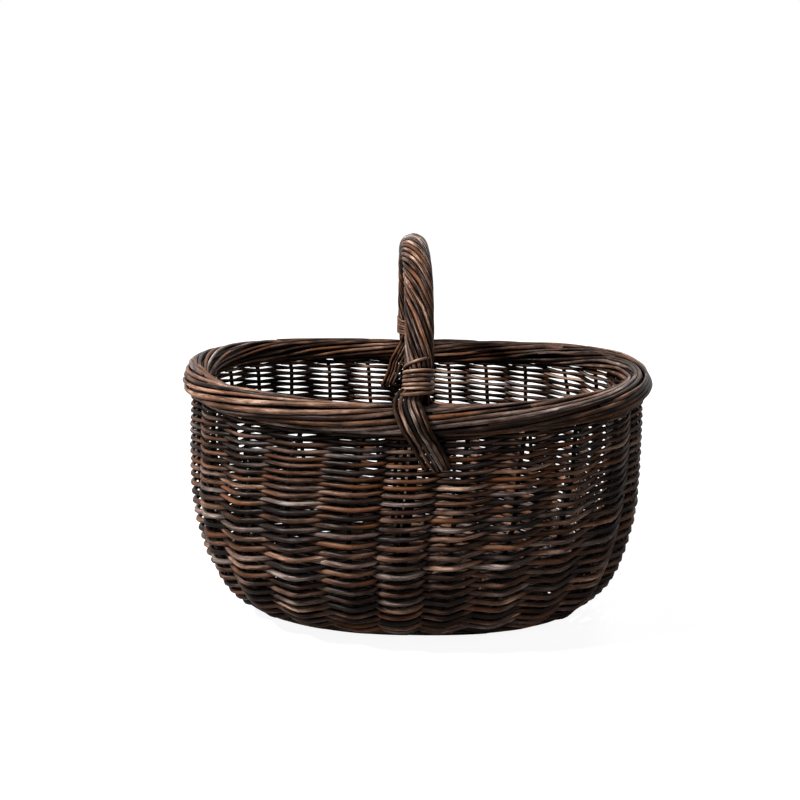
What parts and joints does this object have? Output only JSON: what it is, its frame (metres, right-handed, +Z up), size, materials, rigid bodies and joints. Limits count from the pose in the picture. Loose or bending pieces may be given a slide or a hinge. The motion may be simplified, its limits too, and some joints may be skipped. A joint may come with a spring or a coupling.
{
  "type": "wicker shopping basket",
  "caption": "Oval wicker shopping basket with a thick rolled border and a fixed arched handle roped with twisted rods.",
  "frame": {"origin": "on the surface the basket stands on, under the middle of its outline", "axes": "+Z up, X along the basket's length, -Y the front, the handle arches over from front to back"},
  "size_m": [0.4591, 0.3337, 0.3778],
  "materials": {
    "stakes_and_border": "stained bark, satin",
    "weave": "stained bark, satin",
    "base_sticks": "stained bark, satin",
    "handle_bow": "stained bark, satin",
    "handle_rods": "stained bark, satin"
  },
  "bodies": {
    "root": {"stake_01": "stakes_and_border", "stake_02": "stakes_and_border", "stake_03": "stakes_and_border", "stake_04": "stakes_and_border", "stake_05": "stakes_and_border", "stake_06": "stakes_and_border", "stake_07": "stakes_and_border", "stake_08": "stakes_and_border", "stake_09": "stakes_and_border", "stake_10": "stakes_and_border", "stake_11": "stakes_and_border", "stake_12": "stakes_and_border", "stake_13": "stakes_and_border", "stake_14": "stakes_and_border", "stake_15": "stakes_and_border", "stake_16": "stakes_and_border", "stake_17": "stakes_and_border", "stake_18": "stakes_and_border", "stake_19": "stakes_and_border", "stake_20": "stakes_and_border", "stake_21": "stakes_and_border", "stake_22": "stakes_and_border", "stake_23": "stakes_and_border", "stake_24": "stakes_and_border", "stake_25": "stakes_and_border", "stake_26": "stakes_and_border", "wall_course_01": "weave", "wall_course_02": "weave", "wall_course_03": "weave", "wall_course_04": "weave", "wall_course_05": "weave", "wall_course_06": "weave", "wall_course_07": "weave", "wall_course_08": "weave", "wall_course_09": "weave", "base_course_1": "weave", "base_course_2": "weave", "base_cross_stick_1": "base_sticks", "base_cross_stick_2": "base_sticks", "base_cross_stick_3": "base_sticks", "base_cross_stick_4": "base_sticks", "base_cross_stick_5": "base_sticks", "base_cross_stick_6": "base_sticks", "base_cross_stick_7": "base_sticks", "base_cross_stick_8": "base_sticks", "base_cross_stick_9": "base_sticks", "base_long_stick_1": "base_sticks", "base_long_stick_2": "base_sticks", "base_long_stick_3": "base_sticks", "base_long_stick_4": "base_sticks", "handle_bow": "handle_bow", "handle_bunch_1": "handle_rods", "handle_bunch_2": "handle_rods", "handle_bunch_3": "handle_rods", "handle_bunch_4": "handle_rods", "handle_bunch_5": "handle_rods", "handle_lashing_front": "handle_rods", "handle_lashing_back": "handle_rods"}
  },
  "joints": []
}
